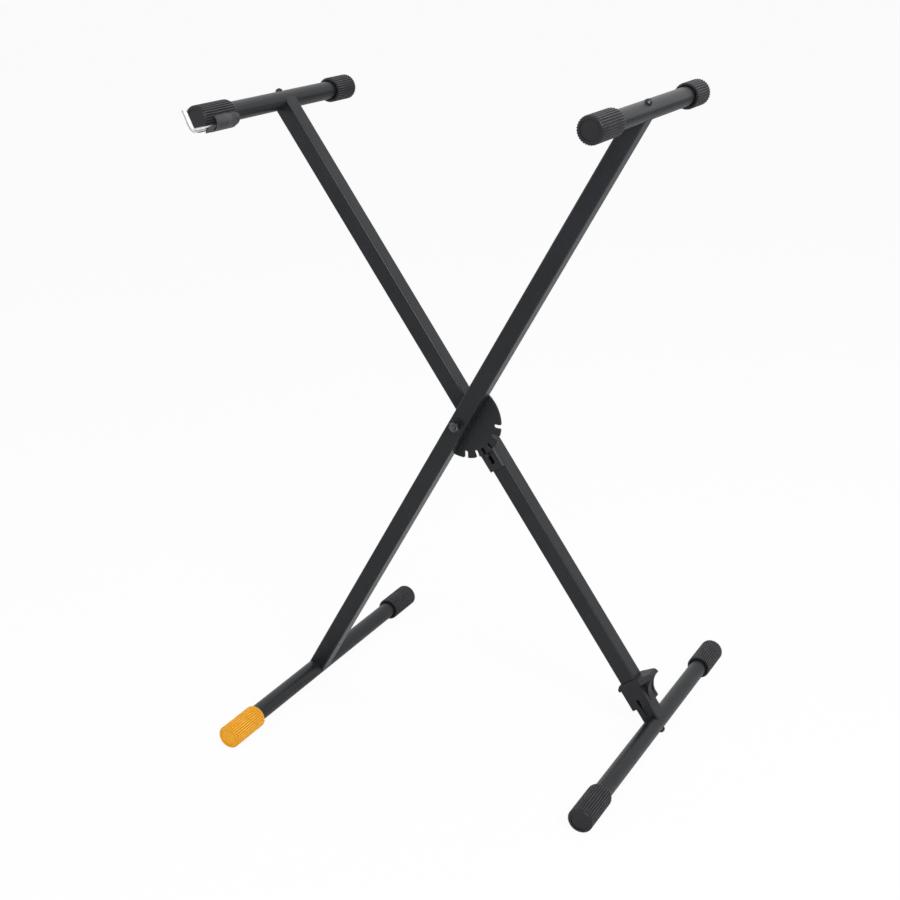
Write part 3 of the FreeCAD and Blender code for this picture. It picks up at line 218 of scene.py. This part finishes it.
# Polypropylene, moulded: soft black with a spark-eroded grain of about 0.2 mm, drawn at 1 mm
moulded_black = surface_material("black polypropylene, moulded", "#1f1f23", "#1a1a1e", "#46464a",
                                 roughness=0.44)
# Nylon, moulded: a little waxier than the caps, its grain of about 0.2 mm drawn at 1.2 mm
black_nylon = surface_material("black nylon, moulded", "#1b1b1e", "#161618", "#3c3c3e", grain_mm=1.2)
# Steel, zinc plated: bright silver, slightly clouded
zinc_plate = surface_material("steel, zinc plated", "#e8e9ea", "#d6d8da", "#f0f0f0", metallic=1.0,
                              roughness=0.3, grain_mm=0.8, grain_depth_mm=0.002, edge_mm=0.2,
                              patch_mm=8.0, roughness_spread=0.08)
# Spring steel, cold drawn
drawn_steel = surface_material("spring steel, drawn", "#9b9ca0", "#8a8b8f", "#b0b1b4", metallic=1.0,
                               roughness=0.32, grain_depth_mm=0.01, edge_mm=0.2, patch_mm=8.0)

finishes = {
    "black_powder_coat": powder_coat, "blackened_steel": black_oxide, "black_plastic": moulded_black,
    "black_nylon": black_nylon, "zinc_steel": zinc_plate, "spring_steel": drawn_steel,
}


def middle(node):
    """Middle of a node along x and z."""
    low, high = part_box(node)
    return (low[0] + high[0]) / 2, (low[2] + high[2]) / 2


def half_width(node):
    """Half of a node's width along x."""
    low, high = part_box(node)
    return (high[0] - low[0]) / 2


# ABS, moulded and coloured right through: amber yellow with a soft gloss, its grain of about
# 0.2 mm drawn at 1 mm, as on the black caps
# Its groove colour is painted shade, and its crest colour a painted highlight with rubbing
finishes["yellow_plastic"] = ribbed_material(
    "amber ABS, moulded", middle("levelling_cap"), half_width("levelling_cap"),
    "#f0aa1a", "#eba416", "#d4900f", "#fccd55", roughness=0.4)
# The black caps' plastic has its own copy for each bar, centred on that bar
cap_radius = half_width("top_left_rear_cap")
# Their groove colour is painted shade, and their crest colour a painted highlight with rubbing
ribbed_black = {
    bar: ribbed_material("black polypropylene, ribbed, " + bar.replace("_", " "), middle(bar),
                         cap_radius, "#212125", "#1b1b1f", "#050506", "#45454a")
    for bar in ("top_left_bar", "top_right_bar", "foot_left_bar", "foot_right_bar")}
# Nodes whose finish differs from the one that the record gives them
# The pivot's nut and bolt take a painted highlight: lighter grey all over and bright along the edges
own_finish = {"pivot_nut": zinc_with_painted_highlight, "pivot_bolt": zinc_with_painted_highlight}

for part in frame["record"]["subparts"]:
    label = part["node"]
    finish = own_finish.get(label, finishes[part["material_slot"]])
    if label.endswith(("_front_cap", "_rear_cap")):
        finish = ribbed_black["_".join(label.split("_")[:2]) + "_bar"]
    node = frame["nodes"][label]
    for number in range(len(node.material_slots)):
        node.material_slots[number].material = finish


# ---- studio -----------------------------------------------------------------------------------

def white_room():
    """World and floor that show white to the camera, while the lamps and a weak even light fall
    on the stand."""
    scene = bpy.context.scene
    scene.view_settings.view_transform = "Standard"
    world = bpy.data.worlds.new("studio")
    world.use_nodes = True
    scene.world = world
    tree = world.node_tree
    rays = add_node(tree, "ShaderNodeLightPath").outputs
    seen = add_node(tree, "ShaderNodeMath", {0: rays["Is Camera Ray"], 1: rays["Is Glossy Ray"]},
                    operation="MAXIMUM")
    passed = add_node(tree, "ShaderNodeMath", {0: seen.outputs[0], 1: rays["Is Transmission Ray"]},
                      operation="MAXIMUM")
    strength = add_node(tree, "ShaderNodeMapRange",
                        {"Value": passed.outputs[0], "To Min": WORLD_FILL})
    background = tree.nodes["Background"]
    background.inputs["Color"].default_value = (1, 1, 1, 1)
    tree.links.new(strength.outputs["Result"], background.inputs["Strength"])

    bpy.ops.mesh.primitive_plane_add(size=FLOOR_SIZE)
    floor = bpy.context.object
    floor.name = "floor"
    material = bpy.data.materials.new("white floor, painted")
    material.use_nodes = True
    tree = material.node_tree
    rays = add_node(tree, "ShaderNodeLightPath").outputs
    paint = add_node(tree, "ShaderNodeBsdfDiffuse", {"Color": FLOOR_PAINT})
    glow = add_node(tree, "ShaderNodeEmission", {"Strength": 1.0})
    share = add_node(tree, "ShaderNodeMath", {0: rays["Is Camera Ray"], 1: FLOOR_GLOW},
                     operation="MULTIPLY")
    mix = add_node(tree, "ShaderNodeMixShader", {0: share.outputs[0], 1: paint.outputs[0],
                                                 2: glow.outputs[0]})
    tree.links.new(mix.outputs[0], tree.nodes["Material Output"].inputs["Surface"])
    floor.data.materials.append(material)


def soft_lamp(name, position, target, size, power):
    """A round lamp of this size in metres and power in watts, turned to the target."""
    lamp = bpy.data.lights.new(name, "AREA")
    lamp.shape = "DISK"
    lamp.size = size
    lamp.energy = power
    holder = bpy.data.objects.new(name, lamp)
    bpy.context.scene.collection.objects.link(holder)
    holder.location = position
    holder.rotation_euler = (Vector(target) - Vector(position)).to_track_quat("-Z", "Y").to_euler()


def photo_camera():
    """Camera at the photograph's place, to the right of the front and looking 20 degrees down."""
    lens = bpy.data.cameras.new("camera")
    lens.lens = LENS
    lens.sensor_width = SENSOR_WIDTH
    lens.shift_x, lens.shift_y = SHIFT
    camera = bpy.data.objects.new("camera", lens)
    bpy.context.scene.collection.objects.link(camera)
    turn = Euler((CAMERA_TILT, 0, CAMERA_TURN)).to_matrix() @ Matrix.Rotation(CAMERA_ROLL, 3, "Z")
    camera.matrix_world = Matrix.Translation(CAMERA_PLACE) @ turn.to_4x4()
    bpy.context.scene.camera = camera


bpy.ops.object.select_all(action="DESELECT")
white_room()
soft_lamp("key", (2.2, -1.6, 2.2), STAND_MIDDLE, 1.4, 80)
soft_lamp("fill", (-2.0, -2.2, 1.6), STAND_MIDDLE, 2.0, 22)
soft_lamp("top", (0.2, 0.6, 3.0), (0, 0, 0.4), 1.8, 30)
photo_camera()
